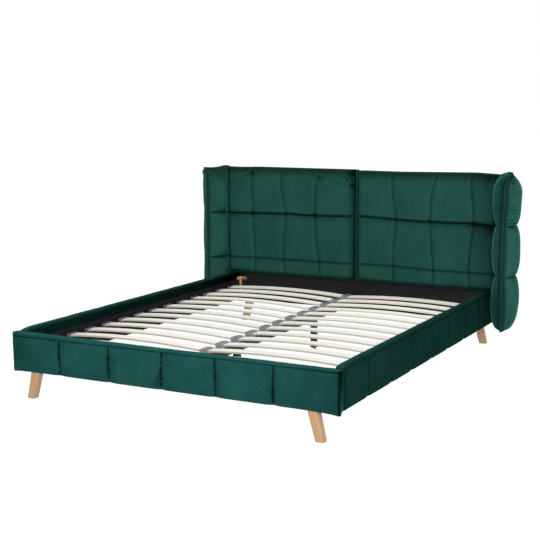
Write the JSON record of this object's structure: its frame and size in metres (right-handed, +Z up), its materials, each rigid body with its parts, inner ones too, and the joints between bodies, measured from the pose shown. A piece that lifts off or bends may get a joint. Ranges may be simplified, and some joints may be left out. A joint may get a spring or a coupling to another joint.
{
  "type": "upholstered platform bed",
  "caption": "Low double bed with a tufted velvet headboard between pillow-like wings, padded rails, sprung slats on a centre beam and splayed wooden legs.",
  "frame": {"origin": "on the floor, under the centre of the bed's outer box", "axes": "+X across the bed to its right seen from the foot, +Y from the footboard to the headboard, +Z up"},
  "size_m": [2.0188, 2.1926, 1],
  "materials": {
    "velvet": "deep green short-pile velvet",
    "black_cloth": "thin black lining cloth",
    "board": "raw wood-based board",
    "slat_wood": "pale satin laminated wood",
    "grey_plastic": "grey moulded plastic",
    "black_steel": "black powder coat",
    "leg_wood": "clear-lacquered pale wood",
    "yellow_zinc": "yellow zinc plating",
    "bolt_steel": "zinc-plated steel",
    "black_plastic": "black moulded plastic"
  },
  "bodies": {
    "frame": {"footboard_cover": "velvet", "side_rail_cover_left": "velvet", "side_rail_cover_right": "velvet", "headboard_cushion_left": "velvet", "headboard_cushion_right": "velvet", "wing_cushion_left": "velvet", "wing_cushion_right": "velvet", "frame_linings": "black_cloth", "headboard_lower_panel": "black_cloth", "headboard_back_covers": "black_cloth", "ledger_left": "black_cloth", "ledger_right": "black_cloth", "footboard_board": "board", "side_rail_board_left": "board", "side_rail_board_right": "board", "headboard_board_left": "board", "headboard_board_right": "board", "wing_board_left": "board", "wing_board_right": "board", "slat_left_01": "slat_wood", "slat_left_02": "slat_wood", "slat_left_03": "slat_wood", "slat_left_04": "slat_wood", "slat_left_05": "slat_wood", "slat_left_06": "slat_wood", "slat_left_07": "slat_wood", "slat_left_08": "slat_wood", "slat_left_09": "slat_wood", "slat_left_10": "slat_wood", "slat_left_11": "slat_wood", "slat_left_12": "slat_wood", "slat_left_13": "slat_wood", "slat_right_01": "slat_wood", "slat_right_02": "slat_wood", "slat_right_03": "slat_wood", "slat_right_04": "slat_wood", "slat_right_05": "slat_wood", "slat_right_06": "slat_wood", "slat_right_07": "slat_wood", "slat_right_08": "slat_wood", "slat_right_09": "slat_wood", "slat_right_10": "slat_wood", "slat_right_11": "slat_wood", "slat_right_12": "slat_wood", "slat_right_13": "slat_wood", "slat_end_caps": "grey_plastic", "slat_centre_holders": "grey_plastic", "centre_beam": "black_steel", "centre_beam_brackets": "black_steel", "centre_legs": "black_steel", "leg_plates": "black_steel", "joining_plates": "black_steel", "leg_front_left": "leg_wood", "leg_front_right": "leg_wood", "leg_rear_left": "leg_wood", "leg_rear_right": "leg_wood", "corner_brackets": "yellow_zinc", "frame_bolts": "bolt_steel"},
    "levelling_foot_front": {"levelling_foot_front": "black_plastic"},
    "levelling_foot_rear": {"levelling_foot_rear": "black_plastic"}
  },
  "joints": [
    {"name": "levelling_foot_front_screw", "type": "slide", "parent": "frame", "child": "levelling_foot_front", "axis": [0, 0, 1], "range_m": [-0.008, 0.01]},
    {"name": "levelling_foot_rear_screw", "type": "slide", "parent": "frame", "child": "levelling_foot_rear", "axis": [0, 0, 1], "range_m": [-0.008, 0.01]}
  ]
}
